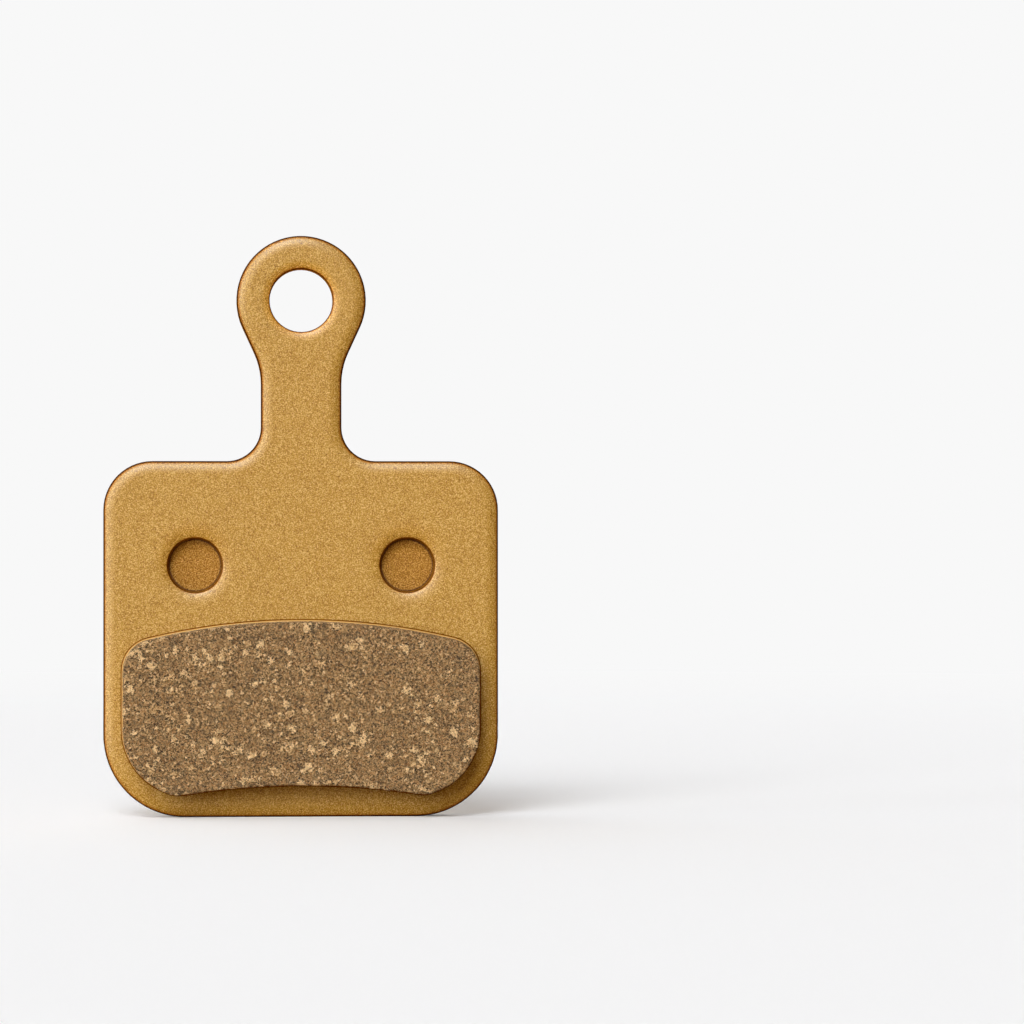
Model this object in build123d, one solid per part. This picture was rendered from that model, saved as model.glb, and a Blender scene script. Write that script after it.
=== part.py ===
from build123d import *
import os
from math import acos, atan2, cos, degrees, hypot, pi, sin, tan

# Bicycle disc brake pad: a blanked steel backing plate with a friction lining moulded on its front.
# Millimetres, +Z up towards the retaining eye, -Y the friction side.
# The origin is the middle of the eye's bore, halfway through the plate.

# Body of the backing plate
plate_thickness = 2.0
body_width = 25.0
body_height = 22.54
top_corner_radius = 3.1
bottom_corner_radius = 5.2

# Neck and retaining eye
neck_width = 5.1
neck_length = 2.73  # its straight sides
shoulder_radius = 2.15  # inside corner between the neck and the body
flare_radius = 4.75  # hollow curve where the neck widens
flank_length = 1.76  # straight stretch from that curve to the eye
eye_radius = 4.1
bore_radius = 2.0

# Blanked edges: the die rolls the front edge over, and the back edge is deburred
edge_roll_width = 0.5
edge_roll_depth = 0.28
edge_crest_share = 0.5  # part of the roll that is blended into the front face
edge_foot_share = 0.42  # part of the roll that is blended into the wall
back_chamfer = 0.2
bore_roll_width = 0.6
bore_roll_depth = 0.3

# Two blind dimples struck into the front face
dimple_radius = 1.74
dimple_depth = 0.85
dimple_spacing = 13.43
dimple_drop = 6.6  # from the shoulder down to their centres
dimple_lean = 0.07  # how much narrower the floor is than the mouth
dimple_roll_width = 0.8
dimple_roll_depth = 0.25

# Friction lining, and the low seat on the plate that it is bonded to
lining_thickness = 1.8
lining_side_margin = 1.25  # from the plate's sides
lining_toe_margin = 1.4  # from the plate's bottom edge, at the lining's lower corners
lining_hollow_margin = 2.1  # from the plate's bottom edge, at mid width
lining_corner_step = 1.0  # how much tighter its lower corners are than the plate's
lining_top_gap = 3.54  # from the dimples' centres down to the crown of the lining
lining_crown_radius = 41.5
lining_hollow_radius = 48.0
lining_top_corner_radius = 2.05
lining_toe_radius = 1.6
lining_edge_radius = 0.15
seat_height = 0.2
seat_foot_width = 0.08  # how far its wall leans outwards
seat_bevel_width = 0.06
seat_bevel_height = 0.035
seat_ledge = 0.01  # flat rim left round the lining

# Heights and widths that follow from these sizes
neck_reach = eye_radius + flare_radius
flare_angle = acos((neck_width / 2 + flare_radius) / hypot(neck_reach, flank_length)) - atan2(
    flank_length, neck_reach
)
neck_top_z = -neck_reach * sin(flare_angle) - flank_length * cos(flare_angle)
shoulder_z = neck_top_z - neck_length - shoulder_radius
body_bottom_z = shoulder_z - body_height
dimple_z = shoulder_z - dimple_drop
lining_crown_z = dimple_z - lining_top_gap
lining_hollow_z = body_bottom_z + lining_hollow_margin
lining_base_z = body_bottom_z + lining_toe_margin
front_face_y = -plate_thickness / 2
edge_roll_angle = atan2(edge_roll_depth, edge_roll_width)
edge_roll_length = hypot(edge_roll_width, edge_roll_depth)
edge_crest_radius = edge_crest_share * edge_roll_length / tan(edge_roll_angle / 2)
edge_foot_radius = edge_foot_share * edge_roll_length / tan((pi / 2 - edge_roll_angle) / 2)
seat_bevel_growth = seat_ledge + seat_bevel_width
seat_margin = seat_bevel_growth + seat_foot_width  # how far the seat shows round the lining


def plate_outline():
    """Outline of the plate: eye, flared neck, shoulders and rounded body, the same on both sides."""
    swing = degrees(flare_angle)
    flank_start = Vector(eye_radius, 0).rotate(Axis.Z, -swing)
    flank_way = Vector(0, -1).rotate(Axis.Z, -swing)
    flank = Line(flank_start, flank_start + flank_way * flank_length)
    flare = JernArc(flank @ 1, flank_way, flare_radius, swing)
    neck = Line(flare @ 1, (neck_width / 2, neck_top_z - neck_length))
    inside_corner = JernArc(neck @ 1, (0, -1), shoulder_radius, 90)
    shoulder = Line(inside_corner @ 1, (body_width / 2 - top_corner_radius, shoulder_z))
    top_corner = JernArc(shoulder @ 1, (1, 0), top_corner_radius, -90)
    side = Line(top_corner @ 1, (body_width / 2, body_bottom_z + bottom_corner_radius))
    bottom_corner = JernArc(side @ 1, (0, -1), bottom_corner_radius, -90)
    right = Curve() + [flank, flare, neck, inside_corner, shoulder, top_corner, side, bottom_corner]
    left = mirror(right, about=Plane.YZ)
    eye = CenterArc((0, 0), eye_radius, -swing, 180 + 2 * swing)
    half_bottom = body_width / 2 - bottom_corner_radius
    bottom = Line((half_bottom, body_bottom_z), (-half_bottom, body_bottom_z))
    return make_face([*right.edges(), *left.edges(), eye, bottom])


def lining_outline(growth):
    """Outline of the lining, moved outwards all round by a growth.

    Its top is arched, its bottom is hollowed, and its lower corners follow the plate's.
    """
    width = body_width - 2 * lining_side_margin + 2 * growth
    base_z = lining_base_z - growth
    block = Pos(0, (dimple_z + base_z) / 2) * Rectangle(width, dimple_z - base_z)
    lower_corner_radius = bottom_corner_radius - lining_corner_step + growth
    block = fillet(block.vertices().sort_by(Axis.Y)[:2], lower_corner_radius)
    crown = Pos(0, lining_crown_z - lining_crown_radius) * Circle(lining_crown_radius + growth)
    hollow = Pos(0, lining_hollow_z - lining_hollow_radius) * Circle(lining_hollow_radius - growth)
    arched = (block & crown) - hollow
    top_edge = arched.edges().sort_by_distance((0, lining_crown_z + growth))[0]
    arched = fillet(top_edge.vertices(), lining_top_corner_radius + growth)
    bottom_edge = arched.edges().sort_by_distance((0, lining_hollow_z - growth))[0]
    return fillet(bottom_edge.vertices(), lining_toe_radius + growth)


def rolled_recess(radius, depth, roll_width, roll_depth, lean=0.0):
    """Round punch mark in the front face, its rim rolled over in an elliptical curve.

    It is centred on the Y axis, narrows to its floor by a lean, and is the space that the punch takes up.
    """
    floor_radius = radius - lean
    floor_y = front_face_y + depth
    rim_y = front_face_y + roll_depth
    mouth = radius + roll_width
    rim = EllipticalCenterArc((mouth, rim_y), roll_width, roll_depth, 180, arc_size=90)
    wall = Line((floor_radius, floor_y), (radius, rim_y))
    middle = Polyline((mouth, front_face_y), (0, front_face_y), (0, floor_y), (floor_radius, floor_y))
    return revolve(make_face([rim, wall, *middle.edges()]), Axis.Y)


def front_edges(solid):
    """Edges round a solid's foremost face."""
    return solid.faces().sort_by(Axis.Y)[0].edges()


def rolled_edge(blank):
    """A blank with the die's roll round its front: a bevel blended into the face and into the wall."""
    front_face = blank.faces().sort_by(Axis.Y)[0]
    plate = chamfer(front_face.edges(), edge_roll_width, edge_roll_depth, reference=front_face)
    plate = fillet(front_edges(plate), edge_crest_radius)
    foot_y = front_face_y + edge_roll_depth
    foot_edges = plate.edges().filter_by_position(Axis.Y, foot_y - 0.001, foot_y + 0.001)
    return fillet(foot_edges, edge_foot_radius)


def level(height):
    """Plane at a height over the plate's front face, facing the friction side."""
    return Plane.XZ.offset(height - front_face_y)


def raised(outline, start_height, thickness):
    """An outline made solid towards the friction side, from a height over the plate's front face."""
    return extrude(level(start_height) * outline, thickness)


def backing_plate():
    """The blanked plate with its bore, dimples and lining seat."""
    blank = raised(plate_outline(), -plate_thickness, plate_thickness)
    plate = rolled_edge(blank)
    plate -= rolled_recess(bore_radius, plate_thickness, bore_roll_width, bore_roll_depth)
    dimple = rolled_recess(dimple_radius, dimple_depth, dimple_roll_width, dimple_roll_depth, dimple_lean)
    for side in (-1, 1):
        plate -= Pos(side * dimple_spacing / 2, 0, dimple_z) * dimple
    back_edges = plate.faces().sort_by(Axis.Y)[-1].edges()
    plate = chamfer(back_edges, back_chamfer)
    return plate + lining_seat()


def lining_seat():
    """The low seat under the lining: a leaning wall, a bevel and a narrow ledge."""
    foot = level(0) * lining_outline(seat_margin)
    knee = level(seat_height - seat_bevel_height) * lining_outline(seat_bevel_growth)
    ledge = level(seat_height) * lining_outline(seat_ledge)
    return loft([foot, knee, ledge], ruled=True)


def friction_lining():
    """The moulded friction block, standing on the seat."""
    block = raised(lining_outline(0), seat_height, lining_thickness)
    return fillet(front_edges(block), lining_edge_radius)


os.makedirs("parts", exist_ok=True)
export_step(backing_plate(), "parts/backing_plate.step")
export_step(friction_lining(), "parts/friction_lining.step")
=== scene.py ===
import logging
import math
from dataclasses import dataclass, field
from enum import Enum

import bpy
import numpy as np
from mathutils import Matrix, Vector, kdtree, noise
from mathutils.geometry import delaunay_2d_cdt


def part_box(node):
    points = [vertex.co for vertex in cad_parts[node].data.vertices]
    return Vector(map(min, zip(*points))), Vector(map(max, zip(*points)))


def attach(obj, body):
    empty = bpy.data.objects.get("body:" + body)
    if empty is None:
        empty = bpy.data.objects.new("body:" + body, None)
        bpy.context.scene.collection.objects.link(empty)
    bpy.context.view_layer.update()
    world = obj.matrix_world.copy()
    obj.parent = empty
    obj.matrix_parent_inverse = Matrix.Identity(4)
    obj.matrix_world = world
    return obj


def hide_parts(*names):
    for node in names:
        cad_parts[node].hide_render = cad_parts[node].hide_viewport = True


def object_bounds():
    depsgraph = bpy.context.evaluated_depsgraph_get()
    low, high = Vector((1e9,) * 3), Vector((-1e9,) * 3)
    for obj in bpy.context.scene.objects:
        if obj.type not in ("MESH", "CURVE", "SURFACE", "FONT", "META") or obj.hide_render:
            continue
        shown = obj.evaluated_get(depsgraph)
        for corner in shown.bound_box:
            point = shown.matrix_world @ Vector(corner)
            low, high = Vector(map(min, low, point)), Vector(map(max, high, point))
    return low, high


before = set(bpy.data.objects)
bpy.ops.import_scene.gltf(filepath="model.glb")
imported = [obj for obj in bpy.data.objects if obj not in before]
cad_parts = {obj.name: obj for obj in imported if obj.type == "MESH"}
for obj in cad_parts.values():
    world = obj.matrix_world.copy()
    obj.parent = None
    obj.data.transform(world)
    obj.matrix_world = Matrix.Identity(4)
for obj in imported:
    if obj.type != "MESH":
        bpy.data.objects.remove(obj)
CAD_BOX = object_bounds()

log = logging.getLogger("brake_pad")

MM = 0.001

Colour = tuple[float, float, float]
Way = tuple[float, float, float]
Span = tuple[float, float]
Stop = tuple[float, Colour]
Socket = bpy.types.NodeSocket

WHOLE: Span = (0.0, 1.0)
NOISE_MIDDLE = 0.5
ACROSS_AND_UP = [0, 2]


class Piece(Enum):
    """The two physical pieces of the pad, by the names of their solids."""

    PLATE = "backing_plate"
    LINING = "friction_lining"


class Slot(Enum):
    """The record's material slots."""

    GOLD_COAT = "gold_coat"
    FRICTION_COMPOUND = "friction_compound"


class Mark(Enum):
    """What the lining's mesh keeps at each point, for its compound's colours."""

    FLAKE = "flake"
    FLAKE_TONE = "flake_tone"
    PORE = "pore"


class Axis(Enum):
    """The three axes, by their places in a vector."""

    X = 0
    Y = 1
    Z = 2


class Detail(Enum):
    """How many finer layers a noise has."""

    PLAIN = 0.0
    SOFT = 2.0
    RICH = 3.0


class Maths(Enum):
    """Sums that a node does."""

    ADD = "ADD"
    SUBTRACT = "SUBTRACT"
    MULTIPLY = "MULTIPLY"
    LARGER = "MAXIMUM"
    SIZE = "ABSOLUTE"
    ROOT = "SQRT"


class Blend(Enum):
    """Ways to lay one colour over another."""

    COVER = "MIX"
    TINT = "MULTIPLY"


class Pattern(Enum):
    """Patterns that fill space, by the types of their nodes."""

    NOISE = "ShaderNodeTexNoise"
    CELLS = "ShaderNodeTexVoronoi"


class Shader(Enum):
    """Plain shaders, by the types of their nodes."""

    PAPER = "ShaderNodeBsdfDiffuse"
    GLOW = "ShaderNodeEmission"
    ROOM = "ShaderNodeBackground"


def srgb(red: int, green: int, blue: int) -> Colour:
    """A colour as seen on a screen, from 0 to 255, as the linear values that shaders take."""
    shares = (value / 255 for value in (red, green, blue))
    return tuple(s / 12.92 if s <= 0.04045 else ((s + 0.055) / 1.055) ** 2.4 for s in shares)


def smooth_step(span: Span, values: np.ndarray) -> np.ndarray:
    """Heights of a soft step that is 0 at the span's first value and 1 at its second."""
    share = np.clip((values - span[0]) / (span[1] - span[0]), 0.0, 1.0)
    return share * share * (3 - 2 * share)


@dataclass(frozen=True)
class Value:
    """A number in a node tree. Sums with it add nodes to the tree."""

    graph: "NodeGraph"
    socket: Socket

    def maths(self, way: Maths, other: "Value | float" = 0.0) -> "Value":
        """A sum on this value and another.

        Args:
            way: Which sum.
            other: The other value, which a sum on one value leaves unused.

        Returns:
            The result.
        """
        made = self.graph.node("ShaderNodeMath", operation=way.value)
        self.graph.feed(made.inputs[0], self)
        self.graph.feed(made.inputs[1], other)
        return Value(self.graph, made.outputs[0])

    def __add__(self, other: "Value | float") -> "Value":
        """This value and another together."""
        return self.maths(Maths.ADD, other)

    def __sub__(self, other: "Value | float") -> "Value":
        """This value less another."""
        return self.maths(Maths.SUBTRACT, other)

    def __mul__(self, other: "Value | float") -> "Value":
        """This value times another."""
        return self.maths(Maths.MULTIPLY, other)

    def __abs__(self) -> "Value":
        """This value without its sign."""
        return self.maths(Maths.SIZE)

    def root(self) -> "Value":
        """This value's square root."""
        return self.maths(Maths.ROOT)

    def larger(self, other: "Value | float") -> "Value":
        """The larger of this value and another."""
        return self.maths(Maths.LARGER, other)

    def step(self, span: Span = WHOLE, heights: Span = WHOLE) -> "Value":
        """A soft step that follows this value.

        Args:
            span: Values at which the step begins and ends.
            heights: Its heights there.

        Returns:
            The step's height.
        """
        made = self.graph.node("ShaderNodeMapRange", interpolation_type="SMOOTHSTEP")
        self.graph.feed(made.inputs["Value"], self)
        for name, number in zip(("From Min", "From Max", "To Min", "To Max"), (*span, *heights)):
            self.graph.feed(made.inputs[name], number)
        return Value(self.graph, made.outputs["Result"])


class NodeGraph:
    """The node tree of a material or of the room, with short calls for the nodes that both use."""

    def __init__(self, owner: bpy.types.Material | bpy.types.World, output: str) -> None:
        """Empties the tree and adds its output.

        Args:
            owner: Material or room that the tree belongs to.
            output: Type of the output node.
        """
        owner.use_nodes = True
        self.tree = owner.node_tree
        self.tree.nodes.clear()
        self.surface = self.node(output).inputs["Surface"]

    def node(self, kind: str, **settings: object) -> bpy.types.Node:
        """Adds a node.

        Args:
            kind: The node's type.
            settings: Properties to set on it.

        Returns:
            The node.
        """
        made = self.tree.nodes.new(kind)
        for name, value in settings.items():
            setattr(made, name, value)
        return made

    def feed(self, target: Socket, source: Value | Socket | Colour | float) -> None:
        """Gives an input a link, a colour or a plain number.

        Args:
            target: The input.
            source: What it gets.
        """
        if isinstance(source, Value):
            source = source.socket
        if isinstance(source, bpy.types.NodeSocket):
            self.tree.links.new(source, target)
        elif isinstance(source, tuple):
            target.default_value = (*source, 1.0)
        else:
            target.default_value = source

    def shader(self, kind: Shader, colour: Colour, strength: float = 1.0) -> Socket:
        """A plain shader.

        Args:
            kind: Which shader.
            colour: Its colour.
            strength: How strongly it shines, where it does.

        Returns:
            The shader.
        """
        made = self.node(kind.value)
        self.feed(made.inputs["Color"], colour)
        if "Strength" in made.inputs:
            self.feed(made.inputs["Strength"], strength)
        return made.outputs[0]

    def blended(self, share: Value, first: Socket, second: Socket) -> Socket:
        """Two shaders mixed by a share.

        Args:
            share: Share of the second shader.
            first: Shader at a share of 0.
            second: Shader at a share of 1.

        Returns:
            The mixed shader.
        """
        made = self.node("ShaderNodeMixShader")
        for target, source in zip(made.inputs, (share, first, second)):
            self.feed(target, source)
        return made.outputs[0]

    def white_rays(self) -> Value:
        """Which rays see the white room: those from the camera, a gloss or a clear material.

        Returns:
            1 for such a ray, else 0.
        """
        path = self.node("ShaderNodeLightPath").outputs
        glossy = Value(self, path["Is Glossy Ray"])
        sharp = glossy.larger(Value(self, path["Is Transmission Ray"]))
        return sharp.larger(Value(self, path["Is Camera Ray"]))


class FinishGraph(NodeGraph):
    """A finish's node tree, with the patterns that finishes are made of.

    Patterns are laid out in millimetres of the object, so that a pattern's size is its size on the part.
    """

    def __init__(self, name: str) -> None:
        """Starts a material.

        Args:
            name: Name of the material.
        """
        self.material = bpy.data.materials.new(name)
        super().__init__(self.material, "ShaderNodeOutputMaterial")
        self.coordinates = self.node("ShaderNodeTexCoord").outputs
        scale = self.node("ShaderNodeVectorMath", operation="SCALE")
        self.feed(scale.inputs["Scale"], 1 / MM)
        self.feed(scale.inputs[0], self.coordinates["Object"])
        self.place = scale.outputs[0]

    def principled(self) -> bpy.types.NodeInputs:
        """Adds the shader of a solid finish and shows it on the surface.

        Returns:
            The shader's inputs.
        """
        made = self.node("ShaderNodeBsdfPrincipled")
        self.feed(self.surface, made.outputs["BSDF"])
        return made.inputs

    def pattern(self, kind: Pattern, size: float, place: Socket | None = None) -> bpy.types.Node:
        """Adds a pattern.

        Args:
            kind: Which pattern.
            size: Width of its blotches or cells in millimetres.
            place: Where it is read, or None for the object's own millimetres.

        Returns:
            The pattern's node.
        """
        made = self.node(kind.value)
        self.feed(made.inputs["Scale"], 1 / size)
        self.feed(made.inputs["Vector"], place or self.place)
        return made

    def noise(self, size: float, detail: Detail = Detail.SOFT, place: Socket | None = None) -> Value:
        """Soft noise from 0 to 1.

        Args:
            size: Width of its blotches in millimetres.
            detail: How many finer layers it has.
            place: Where it is read, or None for the object's own millimetres.

        Returns:
            The noise's height.
        """
        made = self.pattern(Pattern.NOISE, size, place)
        self.feed(made.inputs["Detail"], detail.value)
        return Value(self, made.outputs["Fac"])

    def cells(self, size: float, place: Socket) -> Socket:
        """Irregular cells, as of packed grains, each with three random numbers in its colour."""
        return self.pattern(Pattern.CELLS, size, place).outputs["Color"]

    def part_of(self, vector: Socket, axis: Axis) -> Value:
        """One component of a vector or colour.

        Args:
            vector: The vector or colour.
            axis: Which component.

        Returns:
            The component.
        """
        made = self.node("ShaderNodeSeparateXYZ")
        self.feed(made.inputs[0], vector)
        return Value(self, made.outputs[axis.value])

    def squeezed(self, widths: Way) -> Socket:
        """The object's millimetres, with a width of its own as the unit on each axis.

        Args:
            widths: Width on each axis, in millimetres.

        Returns:
            The squeezed place.
        """
        made = self.node("ShaderNodeVectorMath", operation="DIVIDE")
        self.feed(made.inputs[0], self.place)
        made.inputs[1].default_value = widths
        return made.outputs[0]

    def warped(self, size: float, reach: float) -> Socket:
        """The object's millimetres, pushed about by noise.

        Args:
            size: Width of the noise's blotches in millimetres.
            reach: How far it pushes, in millimetres.

        Returns:
            The warped place.
        """
        push = self.pattern(Pattern.NOISE, size)
        made = self.node("ShaderNodeVectorMath", operation="MULTIPLY_ADD")
        self.feed(made.inputs[0], push.outputs["Color"])
        made.inputs[1].default_value = (reach / NOISE_MIDDLE,) * 3
        self.feed(made.inputs[2], self.place)
        return made.outputs[0]

    def ramp(self, value: Value, stops: tuple[Stop, ...]) -> Socket:
        """A colour that follows a value.

        Args:
            value: Value from 0 to 1.
            stops: Places along the ramp, each with its colour.

        Returns:
            The colour.
        """
        made = self.node("ShaderNodeValToRGB")
        band = made.color_ramp.elements
        while len(band) < len(stops):
            band.new(1.0)
        for element, (place, colour) in zip(band, stops):
            element.position = place
            element.color = (*colour, 1.0)
        self.feed(made.inputs["Fac"], value)
        return made.outputs["Color"]

    def mix(
        self,
        share: Value | float,
        first: Socket | Colour,
        second: Socket | Colour,
        blend: Blend = Blend.COVER,
    ) -> Socket:
        """Two colours mixed by a share.

        Args:
            share: Share of the second colour.
            first: Colour at a share of 0.
            second: Colour that is laid over it.
            blend: How it is laid over.

        Returns:
            The mixed colour.
        """
        made = self.node("ShaderNodeMix", data_type="RGBA", blend_type=blend.value)
        self.feed(made.inputs["Factor"], share)
        targets = [socket for socket in made.inputs if socket.type == "RGBA"]
        for target, colour in zip(targets, (first, second)):
            self.feed(target, colour)
        return next(socket for socket in made.outputs if socket.type == "RGBA")

    def attribute(self, mark: Mark) -> Value:
        """A number that the mesh keeps at each point."""
        return Value(self, self.node("ShaderNodeAttribute", attribute_name=mark.value).outputs["Fac"])

    def bump(self, height: Value, depth: float, below: Socket | None = None) -> Socket:
        """Relief too fine for the mesh.

        Args:
            height: Height from 0 to 1.
            depth: Depth in millimetres that a height of 1 stands for.
            below: A coarser relief that it lies on.

        Returns:
            The tilted normal.
        """
        made = self.node("ShaderNodeBump")
        self.feed(made.inputs["Distance"], depth * MM)
        self.feed(made.inputs["Height"], height)
        if below:
            self.feed(made.inputs["Normal"], below)
        return made.outputs["Normal"]


@dataclass(frozen=True)
class PlateZones:
    """Where the plate's zones are, each as a share from 0 to 1.

    Attributes:
        facing: The faces in front and behind.
        wall: The blanked walls, and those of the dimples.
        hollow: The floors of the dimples.
        seat_wall_painted_shade: The wall of the seat and all in front of it, which painted shade darkens.
        seat_rim_painted_highlight: The bevel and ledge of the seat, round the lining, which get a painted
            highlight.
    """

    facing: Value
    wall: Value
    hollow: Value
    seat_wall_painted_shade: Value
    seat_rim_painted_highlight: Value


@dataclass(frozen=True)
class GoldCoat:
    """Satin gold coat baked on the stamped plate: fine sparkling grain, browner on the blanked walls, with
    painted shade and light on its edges, dimples, bore and seat.

    Sizes are in millimetres. Depths are taken from the plate's front face backwards, and a facing is 1
    on that face and 0 on a wall.
    """

    # Colours of the coat, and tints that it is multiplied by, most of them painted shade or light
    grains: tuple[Stop, ...] = (
        (0.2, srgb(129, 86, 6)),
        (0.5, srgb(180, 139, 45)),
        (0.8, srgb(222, 188, 112)),
    )
    mottle: Colour = srgb(164, 116, 34)
    # painted highlight: a pale colour on the seat's bevel stands in for the light that it catches
    seat_rim_painted_highlight: Colour = srgb(206, 168, 98)
    sheen: Colour = (1.0, 0.97, 0.9)
    pinhole: Colour = (0.6, 0.48, 0.32)
    # painted shade: a warmer, darker tint above each dimple stands in for the shade on its upper rim
    dimple_painted_shade: Colour = (1.0, 0.95, 0.82)
    # painted light: a lighter band round the bore stands in for light on its rolled rim
    bore_rim_painted_light: Colour = (1.22, 1.16, 1.06)
    # painted shade: darkens the dimples' floors where they meet the walls
    dimple_crevice_painted_shade: Colour = (0.3, 0.21, 0.14)
    # painted shade: darkens the seat's wall, standing in for the shade in the crease round the lining
    seat_wall_painted_shade: Colour = (0.5, 0.29, 0.1)
    # grain and painted shade: a speckled tint that darkens the dimples' floors
    dimple_floor_grain_and_painted_shade: tuple[Stop, ...] = (
        (0.3, (0.66, 0.54, 0.4)),
        (0.66, (0.96, 0.88, 0.76)),
    )
    # browner walls, and painted shade by facing: near black where the rolled edges turn into the walls and
    # dimples, deeper orange on the rolls
    wall_tints_and_painted_edge_shade: tuple[Stop, ...] = (
        (0.0, (0.82, 0.68, 0.5)),
        (0.08, (0.68, 0.52, 0.35)),
        (0.2, (0.1, 0.045, 0.015)),
        (0.5, (0.1, 0.045, 0.015)),
        (0.66, (0.56, 0.32, 0.1)),
        (0.77, (1.0, 0.8, 0.5)),
        (0.88, (1.0, 1.0, 1.0)),
    )

    # Zones of the plate, and where painted shade and light lie on it
    wall_facing: Span = (0.72, 0.3)
    floor_facing: Span = (0.6, 0.9)
    recess_depth: Span = (0.2, 0.6)
    seat_wall_depth: Span = (-0.02, -0.05)
    seat_rim_depth: Span = (-0.15, -0.17)
    bore_place: Span = (0.0, 0.0)
    # painted light round the bore: where it fades out and where it is full
    bore_rim_painted_light_reach: Span = (2.6, 2.2)
    # painted shade above the dimples: its middle, a little above theirs, and its reach
    dimple_painted_shade_place: Span = (6.715, -16.2)
    dimple_painted_shade_reach: Span = (2.9, 1.5)
    dimple_place: Span = (6.715, -16.784)
    dimple_crevice_painted_shade_reach: Span = (1.53, 1.64)

    # Grain, mottle and relief
    grain_size: float = 0.07
    grain_depth: float = 0.006
    grain_span: Span = (0.3, 0.7)
    sparkle_size: float = 0.075
    sparkle_warp: Span = (0.1, 0.04)
    sparkle_share: float = 0.15
    pinhole_span: Span = (0.9, 0.94)
    pinhole_share: float = 0.55
    mottle_size: float = 2.6
    mottle_span: Span = (0.3, 0.7)
    mottle_share: float = 0.06
    peel_size: float = 0.7
    peel_depth: float = 0.002
    stria_width: float = 0.09
    stria_length: float = 2.0
    stria_depth: float = 0.02

    # Gloss
    roughness: Span = (0.46, 0.56)
    wall_roughness: float = 0.8
    gloss: float = 0.2
    gloss_facing: Span = (0.6, 0.8)
    hollow_gloss: float = 0.5
    rim_gloss: float = 0.1

    def material(self, front_y: float) -> bpy.types.Material:
        """Makes the coat.

        Args:
            front_y: Where the plate's front face lies.

        Returns:
            The material.
        """
        graph = FinishGraph(Slot.GOLD_COAT.value)
        zones = self.zones(graph, front_y)
        flecks = graph.cells(self.sparkle_size, graph.warped(*self.sparkle_warp))
        sparkle = graph.part_of(flecks, Axis.X)
        grain = graph.noise(self.grain_size, Detail.PLAIN)
        speckle = grain * (1 - self.sparkle_share) + sparkle * self.sparkle_share
        pinholes = graph.part_of(flecks, Axis.Y).step(self.pinhole_span, (0.0, self.pinhole_share))
        rough = speckle.step(self.grain_span, self.roughness)
        shader = graph.principled()
        graph.feed(shader["Base Color"], self.colour(graph, zones, speckle, pinholes))
        graph.feed(shader["Roughness"], rough.larger(zones.wall * self.wall_roughness))
        graph.feed(shader["Specular IOR Level"], self.shine(zones))
        graph.feed(shader["Specular Tint"], self.sheen)
        graph.feed(shader["Normal"], self.relief(graph, zones, speckle))
        return graph.material

    def zones(self, graph: FinishGraph, front_y: float) -> PlateZones:
        """Finds the zones of the plate.

        Args:
            graph: The coat's node tree.
            front_y: Where the plate's front face lies.

        Returns:
            The zones.
        """
        ahead = graph.part_of(graph.coordinates["Normal"], Axis.Y) * -1.0
        facing = abs(ahead)
        depth = graph.part_of(graph.place, Axis.Y) - front_y
        return PlateZones(
            facing=facing,
            wall=facing.step(self.wall_facing),
            hollow=depth.step(self.recess_depth) * ahead.step(self.floor_facing),
            seat_wall_painted_shade=depth.step(self.seat_wall_depth),
            seat_rim_painted_highlight=depth.step(self.seat_rim_depth),
        )

    def colour(self, graph: FinishGraph, zones: PlateZones, speckle: Value, pinholes: Value) -> Socket:
        """Colours the coat: grain and mottle, then tints that darken or lighten them, most of them painted
        shade or light, then a painted highlight on the seat's rim.

        Args:
            graph: The coat's node tree.
            zones: The plate's zones.
            speckle: The coat's grain.
            pinholes: Share of the dark pinholes in it.

        Returns:
            The colour.
        """
        mottle = graph.noise(self.mottle_size, Detail.RICH).step(self.mottle_span, (0.0, self.mottle_share))
        colour = graph.mix(mottle, graph.ramp(speckle, self.grains), self.mottle)
        # painted shade above each dimple
        dimple_shaded = self.around(graph, self.dimple_painted_shade_place, self.dimple_painted_shade_reach)
        # painted light round the bore
        bore_rim_lit = self.around(graph, self.bore_place, self.bore_rim_painted_light_reach)
        # painted shade at the foot of the dimples' walls
        dimple_crevice_shaded = zones.hollow * self.around(graph, self.dimple_place, self.dimple_crevice_painted_shade_reach)
        # browner walls and painted shade along the edges
        edges = graph.ramp(zones.facing, self.wall_tints_and_painted_edge_shade)
        tints = (
            (pinholes, self.pinhole),
            (dimple_shaded, self.dimple_painted_shade),
            (bore_rim_lit, self.bore_rim_painted_light),
            # painted shade in the dimples' floors, with grain
            (zones.hollow, graph.ramp(speckle, self.dimple_floor_grain_and_painted_shade)),
            (dimple_crevice_shaded, self.dimple_crevice_painted_shade),
            # painted shade: the seat's wall is darkened, and the facing tints lay painted shade along the
            # edges
            (1.0, graph.mix(zones.seat_wall_painted_shade, edges, self.seat_wall_painted_shade)),
        )
        for share, tint in tints:
            colour = graph.mix(share, colour, tint, Blend.TINT)
        # painted highlight: the seat's bevel takes the pale colour
        return graph.mix(zones.seat_rim_painted_highlight, colour, self.seat_rim_painted_highlight)

    def shine(self, zones: PlateZones) -> Value:
        """The coat's gloss: full in front, less in the dimples and on the seat's rim, none on walls.

        Args:
            zones: The plate's zones.

        Returns:
            The gloss.
        """
        front = zones.facing.step(self.gloss_facing, (0.0, self.gloss))
        hollow = zones.hollow.step(WHOLE, (1.0, self.hollow_gloss))
        rim = zones.seat_rim_painted_highlight.step(WHOLE, (1.0, self.rim_gloss))
        return front * hollow * rim

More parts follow.
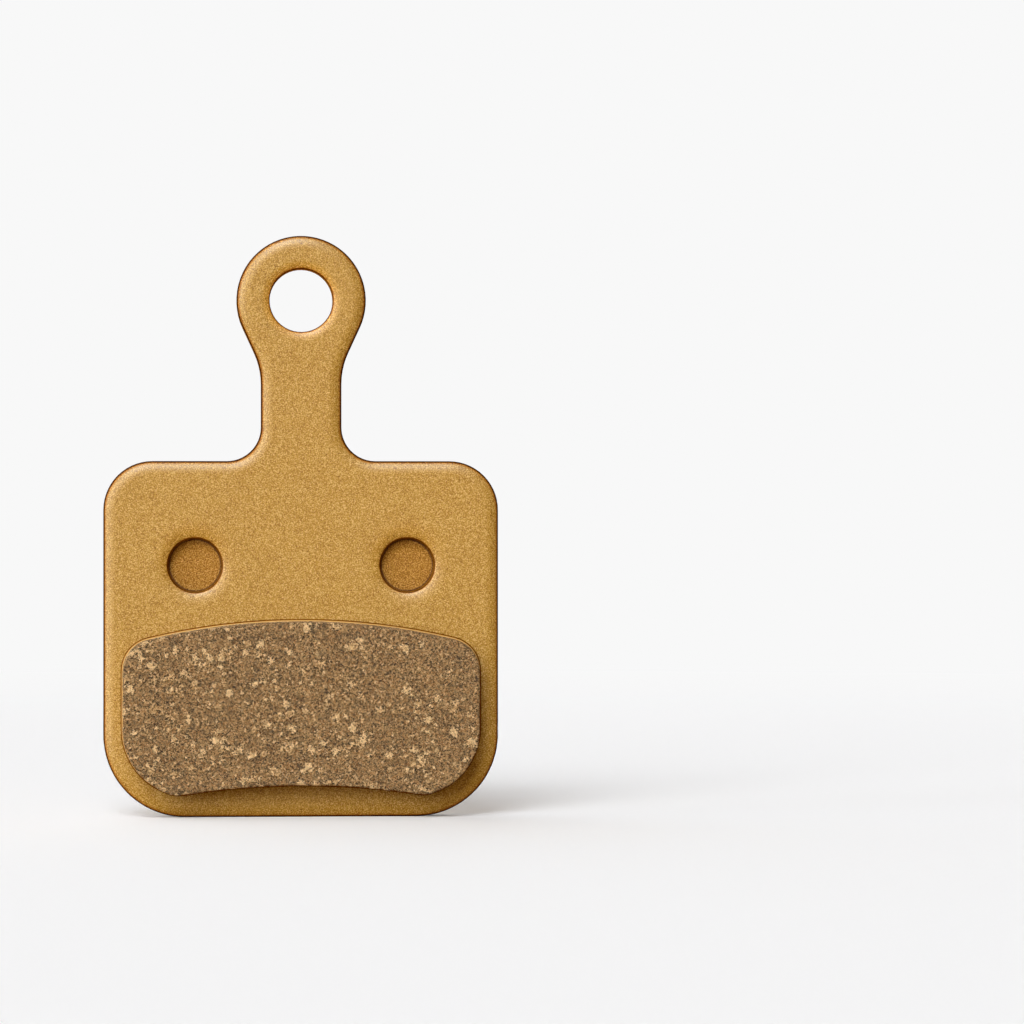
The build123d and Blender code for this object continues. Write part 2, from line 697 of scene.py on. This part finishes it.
    def relief(self, graph: FinishGraph, zones: PlateZones, speckle: Value) -> Socket:
        """Fine relief: a soft peel, the punch's striae on the walls, and the grain over both.

        Args:
            graph: The coat's node tree.
            zones: The plate's zones.
            speckle: The coat's grain.

        Returns:
            The tilted normal.
        """
        striped = graph.squeezed((self.stria_width, self.stria_length, self.stria_width))
        stria = graph.noise(1.0, Detail.RICH, striped)
        peel = graph.bump(graph.noise(self.peel_size), self.peel_depth)
        scored = graph.bump(stria * zones.wall, self.stria_depth, peel)
        return graph.bump(speckle, self.grain_depth, scored)

    @staticmethod
    def around(graph: FinishGraph, middle: Span, reach: Span) -> Value:
        """A share that follows the distance from a point of the plate or from its mirror image.

        Args:
            graph: The coat's node tree.
            middle: The point, across and up.
            reach: Distances from it at which the share is 0 and 1.

        Returns:
            The share, from 0 to 1.
        """
        across = abs(graph.part_of(graph.place, Axis.X)) - middle[0]
        up = graph.part_of(graph.place, Axis.Z) - middle[1]
        return (across * across + up * up).root().step(reach)


@dataclass(frozen=True)
class Grit:
    """What the compound is packed from, as patterns.

    Attributes:
        grains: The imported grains, each with three random numbers.
        grain: The first of those numbers.
        dust: Fine dust between the grains.
        cover: How far a place lies in a flake of the mesh.
        flake: The flakes with their rims crumbled.
        specks: Share of the dark specks.
    """

    grains: Socket
    grain: Value
    dust: Value
    cover: Value
    flake: Value
    specks: Value


@dataclass(frozen=True)
class FrictionCompound:
    """Moulded friction compound: a grey-brown matrix of packed grains with dark specks and pale flakes.

    Sizes are in millimetres.
    """

    # Colours, the tones from the darkest grain to the palest flake
    tones: tuple[Stop, ...] = (
        (0.28, srgb(54, 45, 30)),
        (0.37, srgb(94, 77, 49)),
        (0.46, srgb(128, 104, 68)),
        (0.55, srgb(155, 125, 82)),
        (0.68, srgb(195, 161, 108)),
        (0.95, srgb(238, 209, 156)),
    )
    rust: Colour = srgb(160, 108, 58)
    ash: Colour = srgb(122, 108, 84)
    speck: Colour = srgb(42, 36, 28)
    pore: Colour = srgb(72, 58, 44)

    # Grains and the dust between them
    grain_size: float = 0.08
    grain_warp: Span = (0.09, 0.05)
    grain_share: float = 0.4
    dust_size: float = 0.04
    dust_span: Span = (0.2, 0.8)
    crispness: Span = (0.4, 1.5)
    patch_size: float = 1.4
    patch_tones: Span = (0.25, 0.34)
    rust_span: Span = (0.6, 0.95)
    ash_span: Span = (0.4, 0.05)
    hue_share: float = 0.4

    # Flakes with painted shade round their rims, the small flecks among them, and specks
    flake_bite: float = 0.36
    flake_dust: float = 0.1
    flake_span: Span = (0.47, 0.55)
    flake_calm: float = 0.6
    flake_lift: Span = (0.08, 0.54)
    flake_grain_span: Span = (0.1, 0.9)
    flake_grain: Span = (0.7, 1.1)
    flake_rim_shade_span: Span = (0.1, 0.4)
    flake_rim_shade_dip: float = 0.1
    fleck_size: float = 0.15
    fleck_warp: Span = (0.07, 0.08)
    fleck_span: Span = (0.86, 0.9)
    fleck_lift: Span = (0.06, 0.3)
    speck_size: float = 0.085
    speck_span: Span = (0.88, 0.91)
    speck_share: float = 0.85
    speck_on_flake: float = 0.35

    # Relief and gloss
    grain_depth: float = 0.02
    dust_depth: float = 0.008
    tone_span: Span = (0.2, 0.8)
    roughness: Span = (0.72, 0.92)
    gloss: float = 0.06

    def material(self) -> bpy.types.Material:
        """Makes the compound.

        Returns:
            The material.
        """
        graph = FinishGraph(Slot.FRICTION_COMPOUND.value)
        grit = self.grit(graph)
        tone = self.tone(graph, grit)
        packed = graph.bump(grit.flake - grit.specks, self.grain_depth)
        rough = graph.bump(tone, self.grain_depth, packed)
        shader = graph.principled()
        graph.feed(shader["Base Color"], self.colour(graph, grit, tone))
        graph.feed(shader["Roughness"], tone.step(self.tone_span, self.roughness))
        graph.feed(shader["Specular IOR Level"], self.gloss)
        graph.feed(shader["Normal"], graph.bump(grit.dust, self.dust_depth, rough))
        return graph.material

    def grit(self, graph: FinishGraph) -> Grit:
        """Lays out what the compound is packed from. Grains and dust bite into the rims of the flakes.

        Args:
            graph: The compound's node tree.

        Returns:
            The patterns.
        """
        place = graph.warped(*self.grain_warp)
        grains = graph.cells(self.grain_size, place)
        grain = graph.part_of(grains, Axis.X)
        dust = graph.noise(self.dust_size)
        cover = graph.attribute(Mark.FLAKE)
        bite = grain.step(WHOLE, (-self.flake_bite, self.flake_bite))
        crumb = dust.step(self.dust_span, (-self.flake_dust, self.flake_dust))
        flake = (cover + bite + crumb).step(self.flake_span)
        speck = graph.part_of(graph.cells(self.speck_size, place), Axis.Y)
        specks = speck.step(self.speck_span, (0.0, self.speck_share))
        specks = specks * flake.step(WHOLE, (1.0, self.speck_on_flake))
        return Grit(grains, grain, dust, cover, flake, specks)

    def tone(self, graph: FinishGraph, grit: Grit) -> Value:
        """How pale the compound is: its grains and dust, broad patches, flakes with painted shade round
        their rims, and flecks.

        Args:
            graph: The compound's node tree.
            grit: What it is packed from.

        Returns:
            The tone, from 0 to 1.
        """
        uneven = graph.part_of(grit.grains, Axis.Y).step(WHOLE, self.crispness)
        crisp = (grit.dust - NOISE_MIDDLE) * uneven * grit.flake.step(WHOLE, (1.0, self.flake_calm))
        patch = graph.noise(self.patch_size, Detail.RICH).step(WHOLE, self.patch_tones)
        lift = grit.flake * graph.attribute(Mark.FLAKE_TONE).step(WHOLE, self.flake_lift)
        lift = lift * grit.grain.step(self.flake_grain_span, self.flake_grain)
        # painted shade: a darker band round each flake's crumbled rim
        flake_rim_painted_shade = (grit.cover.step(self.flake_rim_shade_span) - grit.flake).step(WHOLE, (0.0, self.flake_rim_shade_dip))
        flecks = graph.cells(self.fleck_size, graph.warped(*self.fleck_warp))
        fleck = graph.part_of(flecks, Axis.Y).step(self.fleck_span)
        paler = graph.part_of(flecks, Axis.X).step(WHOLE, self.fleck_lift)
        return grit.grain * self.grain_share + crisp + patch + lift - flake_rim_painted_shade + fleck * paler

    def colour(self, graph: FinishGraph, grit: Grit, tone: Value) -> Socket:
        """Colours the compound: its tones, rusty and ashen grains, specks and pores.

        Args:
            graph: The compound's node tree.
            grit: What it is packed from.
            tone: How pale it is.

        Returns:
            The colour.
        """
        hue = graph.part_of(grit.grains, Axis.Z)
        colour = graph.ramp(tone, self.tones)
        covers = (
            (hue.step(self.rust_span, (0.0, self.hue_share)), self.rust),
            (hue.step(self.ash_span, (0.0, self.hue_share)), self.ash),
            (grit.specks, self.speck),
            (graph.attribute(Mark.PORE), self.pore),
        )
        for share, cover in covers:
            colour = graph.mix(share, colour, cover)
        return colour


@dataclass(frozen=True)
class StudioPaper:
    """Pale paper under the pad. Away from the pad it fades into the white of the room.

    The light that it throws back on the pad is that of a dimmer, warmer paper. Sizes are in millimetres.
    """

    white: Colour = srgb(248, 248, 248)
    albedo: Colour = (0.897, 0.946, 0.958)
    bounce: Colour = (0.46, 0.34, 0.2)
    glow: float = 0.13
    fade: Span = (90.0, 260.0)

    def material(self) -> bpy.types.Material:
        """Makes the paper.

        Returns:
            The material.
        """
        graph = FinishGraph("studio_paper")
        lit = graph.node("ShaderNodeAddShader")
        graph.feed(lit.inputs[0], graph.shader(Shader.PAPER, self.albedo))
        graph.feed(lit.inputs[1], graph.shader(Shader.GLOW, self.white, self.glow))
        distance = graph.node("ShaderNodeVectorMath", operation="LENGTH")
        graph.feed(distance.inputs[0], graph.place)
        faded = Value(graph, distance.outputs["Value"]).step(self.fade)
        seen = graph.blended(faded, lit.outputs[0], graph.shader(Shader.GLOW, self.white))
        dim = graph.shader(Shader.PAPER, self.bounce)
        graph.feed(graph.surface, graph.blended(graph.white_rays(), dim, seen))
        return graph.material


@dataclass
class BackingPlate:
    """The stamped steel plate with its eye, neck, dimples and seat.

    Its solid is shown as it is, under the coat. Sizes are in millimetres.
    """

    coat: GoldCoat = field(default_factory=GoldCoat)
    seat_height: float = 0.2

    def front_y(self) -> float:
        """Where the front face lies, behind the seat."""
        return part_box(Piece.PLATE.value)[0][Axis.Y.value] / MM + self.seat_height

    def dress(self) -> bpy.types.Object:
        """Puts the coat on the plate.

        Returns:
            The plate.
        """
        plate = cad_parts[Piece.PLATE.value]
        material = self.coat.material(self.front_y())
        for slot in plate.material_slots:
            slot.material = material
        return plate


@dataclass(frozen=True)
class Lumps:
    """Soft unevenness of a skin.

    Attributes:
        width: Width of a lump in millimetres.
        height: Height that the noise is scaled to.
        shift: How far along the noise it is read, which sets it apart from the others.
    """

    width: float
    height: float = 1.0
    shift: float = 0.0

    def at(self, points: np.ndarray) -> np.ndarray:
        """Height of the unevenness at each of some points."""
        aside = Vector((self.shift, 0.0, 0.0))
        return self.height * np.array([noise.noise(Vector(point) / self.width + aside) for point in points])


@dataclass(frozen=True)
class Spots:
    """Irregular spots scattered over a skin.

    Attributes:
        tries: How many spots are tried.
        radii: Smallest and largest radius in millimetres.
        raggedness: How far noise shifts a rim, as a share of the radius.
        drift: How much likelier a spot is at the right and top ends than in the middle.
        chance: How likely a try in the middle makes a spot.
        stretch: Least and most that a spot is lengthened one way.
        rim: Shares of the radius at which a spot's soft rim begins and ends.
        reach: How far from a spot's middle points are looked at, as a share of its longest radius.
    """

    tries: int
    radii: Span
    raggedness: float
    drift: Span = (0.0, 0.0)
    chance: float = 0.55
    stretch: Span = (1.0, 1.9)
    rim: Span = (1.45, 0.45)
    reach: float = 1.7


@dataclass
class FrictionLining:
    """The moulded lining, as a closed skin fine enough to hold its flakes, pores and ragged rim.

    Sizes are in millimetres.
    """

    compound: FrictionCompound = field(default_factory=FrictionCompound)

    # Form of the block
    edge_radius: float = 0.12
    draft: float = 0.035

    # Spots and unevenness of its skin
    flakes: Spots = Spots(1550, (0.06, 0.25), 0.9, drift=(-0.25, -0.2))
    flake_height: float = 0.028
    pores: Spots = Spots(600, (0.035, 0.075), 0.3)
    pore_depth: float = 0.04
    wobble: Lumps = Lumps(0.11)
    grain: Lumps = Lumps(0.16, height=0.01, shift=40.0)
    ragged_walls: Lumps = Lumps(0.7, height=0.03, shift=80.0)

    # Layout of the skin's points
    spacing: float = 0.064
    jitter: float = 0.28  # how far points in front are shaken, as a share of the spacing
    rim_clearance: float = 0.7  # how far they keep from the rim, as a share of the spacing
    arc_rows: int = 4  # rows over the rounded rim
    smooth_rows: int = 4  # rows over the base in which the unevenness fades in
    level_tolerance: float = 1e-4  # within which the solid's points lie on its base
    merge_digits: int = 5  # decimals to which points at one place agree
    seed: int = 11

    points: np.ndarray = field(init=False)
    normals: np.ndarray = field(init=False)
    seated: np.ndarray = field(init=False)
    faces: list[tuple[int, ...]] = field(init=False)

    def build(self) -> bpy.types.Object:
        """Builds the lining in place of its solid.

        Returns:
            The lining.
        """
        low, high = (np.array(corner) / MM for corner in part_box(Piece.LINING.value))
        self.lay_skin(base_y=high[1], thickness=high[1] - low[1])
        marks = self.mark()
        mesh = bpy.data.meshes.new("friction_lining_skin")
        mesh.from_pydata((self.points * MM).tolist(), [], self.faces)
        mesh.shade_smooth()
        for mark, values in marks.items():
            kept = mesh.attributes.new(mark.value, "FLOAT", "POINT")
            kept.data.foreach_set("value", values.astype(np.float32))
        lining = bpy.data.objects.new("moulded_lining", mesh)
        bpy.context.scene.collection.objects.link(lining)
        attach(lining, "root")
        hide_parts(Piece.LINING.value)
        return lining

    def dress(self, lining: bpy.types.Object) -> None:
        """Gives the lining its compound."""
        lining.data.materials.append(self.compound.material())

    def outline(self) -> np.ndarray:
        """Outline of the solid's base, evenly spaced.

        Returns:
            Points across and up, anticlockwise as seen from the friction side.
        """
        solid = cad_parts[Piece.LINING.value].data
        corners = np.array([vertex.co for vertex in solid.vertices]) / MM
        base = corners[corners[:, 1] > corners[:, 1].max() - self.level_tolerance][:, ACROSS_AND_UP]
        base = np.unique(base.round(self.merge_digits), axis=0)
        middle = (base.min(axis=0) + base.max(axis=0)) / 2
        base = base[np.argsort(np.arctan2(*(base - middle).T[::-1]))]
        closed = np.vstack([base, base[:1]])
        along = np.concatenate([[0.0], np.cumsum(np.linalg.norm(np.diff(closed, axis=0), axis=1))])
        count = round(along[-1] / self.spacing)
        places = np.linspace(0, along[-1], count, endpoint=False)
        return np.column_stack([np.interp(places, along, way) for way in closed.T])

    def lay_skin(self, base_y: float, thickness: float) -> None:
        """Lays out the skin's points and faces: wall, rounded rim, front and base.

        Args:
            base_y: Where the base lies.
            thickness: From the base to the front.
        """
        loop = self.outline()
        count = len(loop)
        rings, leans = self.lay_rings(loop, base_y, thickness)
        rim = rings[-1][:, ACROSS_AND_UP]
        inner = self.face_points(rim)
        front = np.column_stack([inner[:, 0], np.full(len(inner), base_y - thickness), inner[:, 1]])
        self.points = np.vstack([*rings, front])
        self.normals = np.vstack([*leans, np.tile((0.0, -1.0, 0.0), (len(inner), 1))])
        self.seated = smooth_step((0.0, self.smooth_rows * self.spacing), base_y - self.points[:, 1])
        self.faces = self.band_faces(len(rings), count)
        first = (len(rings) - 1) * count
        for triangle in self.triangles(np.vstack([rim, inner]), count):
            self.faces.append(tuple(first + corner for corner in triangle))
        for triangle in self.triangles(loop, count):
            self.faces.append(tuple(reversed(triangle)))

    def lay_rings(
        self, loop: np.ndarray, base_y: float, thickness: float
    ) -> tuple[list[np.ndarray], list[np.ndarray]]:
        """Lays out the rings of points up the wall, which leans by the draft, and over the rounded rim.

        Args:
            loop: Outline of the base.
            base_y: Where the base lies.
            thickness: From the base to the front.

        Returns:
            Each ring's points, and the normals there.
        """
        tangent = np.roll(loop, -1, axis=0) - np.roll(loop, 1, axis=0)
        outward = np.column_stack([tangent[:, 1], -tangent[:, 0]])
        outward /= np.linalg.norm(outward, axis=1)[:, None]
        wall_height = thickness - self.edge_radius
        wall_rows = round(wall_height / self.spacing)
        rows = [(height, 0.0) for height in np.linspace(0, wall_height, wall_rows, endpoint=False)]
        rows += [(wall_height, angle) for angle in np.linspace(0, math.pi / 2, self.arc_rows + 1)]
        rings: list[np.ndarray] = []
        leans: list[np.ndarray] = []
        for height, angle in rows:
            inset = self.edge_radius * (1 - math.cos(angle)) + self.draft * height / wall_height
            level = np.full(len(loop), base_y - height - self.edge_radius * math.sin(angle))
            ahead = np.full(len(loop), -math.sin(angle))
            ring = loop - outward * inset
            aside = outward * math.cos(angle)
            rings.append(np.column_stack([ring[:, 0], level, ring[:, 1]]))
            leans.append(np.column_stack([aside[:, 0], ahead, aside[:, 1]]))
        return rings, leans

    @staticmethod
    def band_faces(rings: int, count: int) -> list[tuple[int, ...]]:
        """Faces between rings of points.

        Args:
            rings: How many rings.
            count: Points in each.

        Returns:
            The faces' corners.
        """
        faces: list[tuple[int, ...]] = []
        for low in range(0, (rings - 1) * count, count):
            high = low + count
            for i in range(count):
                after = (i + 1) % count
                faces.append((low + i, low + after, high + after, high + i))
        return faces

    def face_points(self, rim: np.ndarray) -> np.ndarray:
        """Scattered points that fill the front inside its rim.

        Args:
            rim: Outline of the front.

        Returns:
            Points across and up.
        """
        draw = np.random.default_rng(self.seed)
        low, high = rim.min(axis=0), rim.max(axis=0)
        pitch = self.spacing * math.sqrt(3) / 2
        across = np.arange(low[0], high[0], self.spacing)
        up = np.arange(low[1], high[1], pitch)
        grid = np.array([(x + (row % 2) * self.spacing / 2, z) for row, z in enumerate(up) for x in across])
        grid += draw.uniform(-self.jitter, self.jitter, grid.shape) * self.spacing
        inside = np.zeros(len(grid), bool)
        for (x0, z0), (x1, z1) in zip(rim, np.roll(rim, -1, axis=0)):
            if z0 == z1:
                continue
            crosses = (z0 > grid[:, 1]) != (z1 > grid[:, 1])
            inside ^= crosses & (grid[:, 0] < x0 + (grid[:, 1] - z0) * (x1 - x0) / (z1 - z0))
        grid = grid[inside]
        tree = self.search_tree(np.column_stack([rim[:, 0], np.zeros(len(rim)), rim[:, 1]]))
        clear = [tree.find((x, 0.0, z))[2] > self.rim_clearance * self.spacing for x, z in grid]
        return grid[clear]

    @staticmethod
    def search_tree(points: np.ndarray) -> kdtree.KDTree:
        """Sorts points for finding the ones near a place.

        Args:
            points: The points.

        Returns:
            The sorted points.
        """
        tree = kdtree.KDTree(len(points))
        for i, point in enumerate(points):
            tree.insert(point, i)
        tree.balance()
        return tree

    @staticmethod
    def triangles(points: np.ndarray, rim_count: int) -> list[list[int]]:
        """Triangles between points inside a rim.

        Args:
            points: Points across and up, the rim's first.
            rim_count: How many of them are on the rim.

        Returns:
            The triangles as places among the points, anticlockwise.
        """
        inside_rim_only = 1
        slack = 1e-7
        edges = [(i, (i + 1) % rim_count) for i in range(rim_count)]
        made = delaunay_2d_cdt([Vector(point) for point in points], edges, [], inside_rim_only, slack)
        faces, sources = made[2], made[3]
        return [[sources[corner][0] for corner in face] for face in faces]

    def mark(self) -> dict[Mark, np.ndarray]:
        """Raises the flakes, sinks the pores and roughens the skin.

        Returns:
            What the compound's colours follow, at each point.
        """
        draw = np.random.default_rng(self.seed + 1)
        wobble = self.wobble.at(self.points)
        tree = self.search_tree(self.points)
        flake, flake_tone = self.scatter(draw, tree, wobble, self.flakes)
        pore, _ = self.scatter(draw, tree, wobble, self.pores)
        pore *= 1 - flake
        sides = np.hypot(self.normals[:, 0], self.normals[:, 2])
        height = self.flake_height * flake - self.pore_depth * pore + self.grain.at(self.points)
        height += self.ragged_walls.at(self.points) * sides
        self.points = self.points + self.normals * (height * self.seated)[:, None]
        return {Mark.FLAKE: flake, Mark.FLAKE_TONE: flake_tone, Mark.PORE: pore}

    def scatter(
        self, draw: np.random.Generator, tree: kdtree.KDTree, wobble: np.ndarray, spots: Spots
    ) -> tuple[np.ndarray, np.ndarray]:
        """Scatters irregular spots over the skin.

        Args:
            draw: Source of the random numbers.
            tree: The skin's points, for finding the ones near a spot.
            wobble: Noise at each point that makes the spots' rims irregular.
            spots: What the spots are like.

        Returns:
            How far each point lies in a spot, from 0 to 1, and that spot's own tone.
        """
        cover = np.zeros(len(self.points))
        tone = np.zeros(len(self.points))
        low, high = self.points.min(axis=0), self.points.max(axis=0)
        smallest, largest = spots.radii
        for _ in range(spots.tries):
            middle = self.points[draw.integers(len(self.points))]
            across, _, up = 2 * (middle - low) / (high - low) - 1
            if draw.random() > spots.chance + spots.drift[0] * across + spots.drift[1] * up:
                continue
            radius = smallest + (largest - smallest) * draw.random() ** 2
            longer = draw.uniform(*spots.stretch)
            way = draw.normal(size=3)
            way /= np.linalg.norm(way)
            spot_tone = draw.random()
            near = np.array([found[1] for found in tree.find_range(middle, radius * longer * spots.reach)])
            gap = self.points[near] - middle
            squashed = gap - np.outer(gap @ way * (1 - 1 / longer), way)
            distance = np.linalg.norm(squashed, axis=1) / radius + spots.raggedness * wobble[near]
            share = smooth_step(spots.rim, distance)
            better = share > cover[near]
            cover[near[better]] = share[better]
            tone[near[better]] = spot_tone
        return cover, tone


@dataclass(frozen=True)
class Lamp:
    """An even soft light from one side.

    Attributes:
        name: Its name.
        source: The way towards it.
        strength: How strong its light is.
        spread: How wide it looks from the pad, in degrees.
        sheen: Whether it shows in glossy finishes alone.
        colour: Colour of its light.
    """

    name: str
    source: Way
    strength: float
    spread: float
    sheen: bool = False
    colour: Colour = (0.985, 1.0, 1.06)

    def hang(self) -> None:
        """Adds the lamp to the studio."""
        light = bpy.data.lights.new(self.name, "SUN")
        light.energy = self.strength
        light.color = self.colour
        light.angle = math.radians(self.spread)
        holder = bpy.data.objects.new(self.name, light)
        holder.visible_diffuse = not self.sheen
        holder.rotation_mode = "QUATERNION"
        holder.rotation_quaternion = Vector(self.source).to_track_quat("Z", "Y")
        bpy.context.scene.collection.objects.link(holder)


@dataclass
class Studio:
    """A pale floor, soft light from the upper left, and a level camera in front, turned a little aside.

    Sizes are in millimetres. The view's middle and width are those at the pad's outline.
    """

    paper: StudioPaper = field(default_factory=StudioPaper)
    floor_width: float = 3000.0
    camera_x: float = -4.0
    camera_z: float = -13.41
    camera_distance: float = 280.0
    camera_clearance: float = 10.0
    view_x: float = 13.365
    view_width: float = 64.89
    outline_y: float = -0.45
    lamps: tuple[Lamp, ...] = (
        Lamp("key_light", (-0.5, -1.0, 0.52), 1.48, 40.0),
        Lamp("side_light", (-0.95, -0.28, 0.1), 1.4, 30.0),
        Lamp("top_light", (-0.16, -0.7, 0.7), 1.14, 30.0),
        Lamp("back_light", (-0.8, 1.0, 0.7), 1.6, 90.0),
        Lamp("fill_light", (-0.3, -1.0, 0.4), 0.38, 50.0, colour=(1.0, 0.64, 0.28)),
        Lamp("key_sheen", (-0.58, -1.0, 0.42), 1.8, 40.0, sheen=True),
        Lamp("side_sheen", (-0.95, -0.6, 0.18), 6.0, 24.0, sheen=True),
        Lamp("top_sheen", (-0.2, -0.62, 0.8), 13.5, 24.0, sheen=True),
    )
    ambient: float = 0.09
    ambient_colour: Colour = (1.0, 0.5, 0.12)

    def build(self) -> None:
        """Sets up the floor, light and camera."""
        self.lay_floor()
        for lamp in self.lamps:
            lamp.hang()
        self.light_room()
        self.place_camera()
        bpy.context.scene.view_settings.view_transform = "Standard"

    def lay_floor(self) -> None:
        """Lays the floor under the pad."""
        level = CAD_BOX[0].z
        half = self.floor_width * MM / 2
        corners = [(-half, -half, level), (half, -half, level), (half, half, level), (-half, half, level)]
        mesh = bpy.data.meshes.new("studio_floor")
        mesh.from_pydata(corners, [], [(0, 1, 2, 3)])
        floor = bpy.data.objects.new("studio_floor", mesh)
        bpy.context.scene.collection.objects.link(floor)
        floor.data.materials.append(self.paper.material())

    def light_room(self) -> None:
        """Makes the room: white to see, dim and warm as a light."""
        room = bpy.data.worlds.new("white_room")
        graph = NodeGraph(room, "ShaderNodeOutputWorld")
        light = graph.shader(Shader.ROOM, self.ambient_colour, self.ambient)
        seen = graph.shader(Shader.ROOM, self.paper.white)
        graph.feed(graph.surface, graph.blended(graph.white_rays(), light, seen))
        bpy.context.scene.world = room

    def place_camera(self) -> None:
        """Places the level camera in front of the pad."""
        lens = bpy.data.cameras.new("camera")
        turn = math.asin((self.view_x - self.camera_x) / self.camera_distance)
        lens.angle = 2 * math.atan(self.view_width / 2 / (self.camera_distance * math.cos(turn)))
        lens.clip_start = self.camera_clearance * MM
        camera = bpy.data.objects.new("camera", lens)
        camera.location = Vector((self.camera_x, self.outline_y - self.camera_distance, self.camera_z)) * MM
        camera.rotation_euler = (math.pi / 2, 0.0, -turn)
        bpy.context.scene.collection.objects.link(camera)
        bpy.context.scene.camera = camera


def main() -> None:
    """Builds and dresses the pad, then the studio round it."""
    logging.basicConfig(level=logging.INFO, format="%(name)s: %(message)s")
    plate = BackingPlate().dress()
    log.info("%s: %d faces, coated", plate.name, len(plate.data.polygons))
    lining = FrictionLining()
    piece = lining.build()
    lining.dress(piece)
    log.info("%s: %d faces, moulded", piece.name, len(piece.data.polygons))
    Studio().build()
    log.info("studio: floor, lights and camera")


if __name__ == "__main__":
    main()
